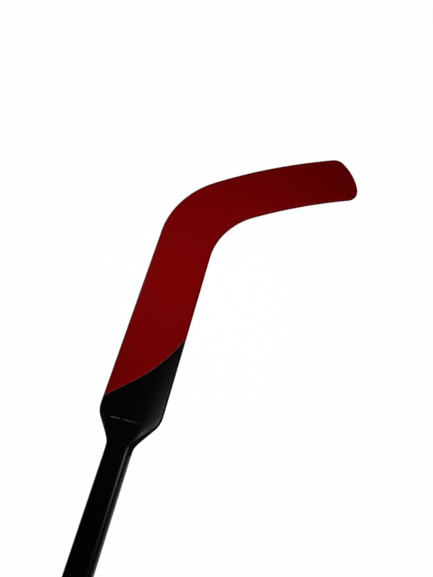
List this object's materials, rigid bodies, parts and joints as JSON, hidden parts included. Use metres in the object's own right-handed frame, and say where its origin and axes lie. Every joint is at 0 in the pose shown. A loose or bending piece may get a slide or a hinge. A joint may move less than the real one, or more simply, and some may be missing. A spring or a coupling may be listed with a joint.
{
  "type": "ice hockey goalie stick",
  "caption": "Goalie stick with a slim shaft, a wide flat paddle and a short curled blade, black above a slanting colour break and red below it.",
  "frame": {"origin": "on the flat back of the shaft, on its centre line, just before it widens into the shoulder", "axes": "+X from the trailing edge of the paddle towards the toe, +Y along the shaft from the butt towards the heel, +Z out of the front face"},
  "size_m": [0.284, 1.0934, 0.0215],
  "materials": {
    "black_paint": "satin black lacquer over fibre laminate",
    "red_paint": "satin red lacquer over fibre laminate",
    "stripe_paint": "dark grey stripe",
    "black_plastic": "moulded plastic",
    "red_plastic": "red edge strip",
    "spruce": "planed spruce",
    "birch": "planed birch",
    "rigid_foam": "rigid closed-cell foam"
  },
  "bodies": {
    "root": {"shaft_tube": "black_paint", "shaft_foam": "rigid_foam", "butt_cap": "black_plastic", "paddle_spar": "spruce", "front_shoulder_skin": "black_paint", "back_shoulder_skin": "black_paint", "front_blade_skin": "red_paint", "back_blade_skin": "red_paint", "front_pinstripe": "stripe_paint", "back_pinstripe": "stripe_paint", "leading_shoulder_cheek": "black_plastic", "trailing_shoulder_cheek": "black_plastic", "leading_black_strip": "black_plastic", "leading_red_strip": "red_plastic", "trailing_red_strip": "red_plastic", "leading_paddle_core": "rigid_foam", "trailing_paddle_core": "rigid_foam", "heel_block": "birch", "blade_spar": "spruce", "upper_blade_core": "rigid_foam", "lower_blade_core": "rigid_foam", "toe_block": "red_plastic"}
  },
  "joints": []
}
